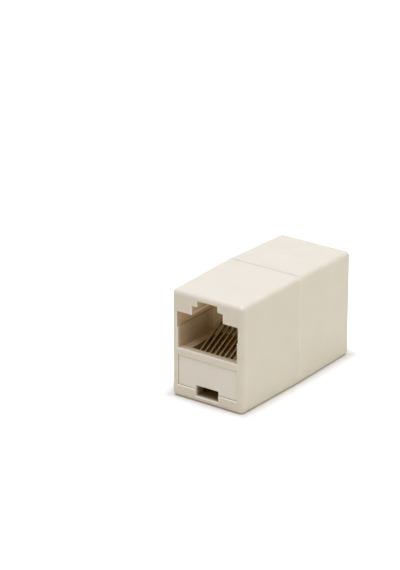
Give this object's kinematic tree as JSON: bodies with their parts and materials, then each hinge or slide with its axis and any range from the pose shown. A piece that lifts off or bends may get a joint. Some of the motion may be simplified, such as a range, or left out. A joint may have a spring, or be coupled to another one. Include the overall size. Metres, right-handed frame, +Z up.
{
  "type": "rj45 inline coupler",
  "caption": "Inline coupler with a modular jack at each end of a two-part moulded case; joins two patch cords pin to pin.",
  "frame": {"origin": "middle of the base, on the surface it rests on", "axes": "+Y along the coupler from the front jack to the rear jack, +X across it, +Z up, latch slots uppermost"},
  "size_m": [0.0156, 0.0328, 0.0201],
  "materials": {
    "ivory_case": "smooth ivory moulding, satin",
    "ivory_insert": "smooth ivory moulding, satin",
    "gilt_spring_wire": "thin gold plate over phosphor bronze wire",
    "blue_lead": "blue insulation",
    "orange_lead": "orange insulation",
    "black_lead": "black insulation",
    "red_lead": "red insulation",
    "green_lead": "green insulation",
    "yellow_lead": "yellow insulation",
    "brown_lead": "brown insulation",
    "white_lead": "white insulation"
  },
  "bodies": {
    "root": {"front_shell": "ivory_case", "rear_shell": "ivory_case", "front_insert": "ivory_insert", "rear_insert": "ivory_insert", "front_contact_1": "gilt_spring_wire", "front_contact_2": "gilt_spring_wire", "front_contact_3": "gilt_spring_wire", "front_contact_4": "gilt_spring_wire", "front_contact_5": "gilt_spring_wire", "front_contact_6": "gilt_spring_wire", "front_contact_7": "gilt_spring_wire", "front_contact_8": "gilt_spring_wire", "rear_contact_1": "gilt_spring_wire", "rear_contact_2": "gilt_spring_wire", "rear_contact_3": "gilt_spring_wire", "rear_contact_4": "gilt_spring_wire", "rear_contact_5": "gilt_spring_wire", "rear_contact_6": "gilt_spring_wire", "rear_contact_7": "gilt_spring_wire", "rear_contact_8": "gilt_spring_wire", "lead_1": "blue_lead", "lead_2": "orange_lead", "lead_3": "black_lead", "lead_4": "red_lead", "lead_5": "green_lead", "lead_6": "yellow_lead", "lead_7": "brown_lead", "lead_8": "white_lead"}
  },
  "joints": []
}
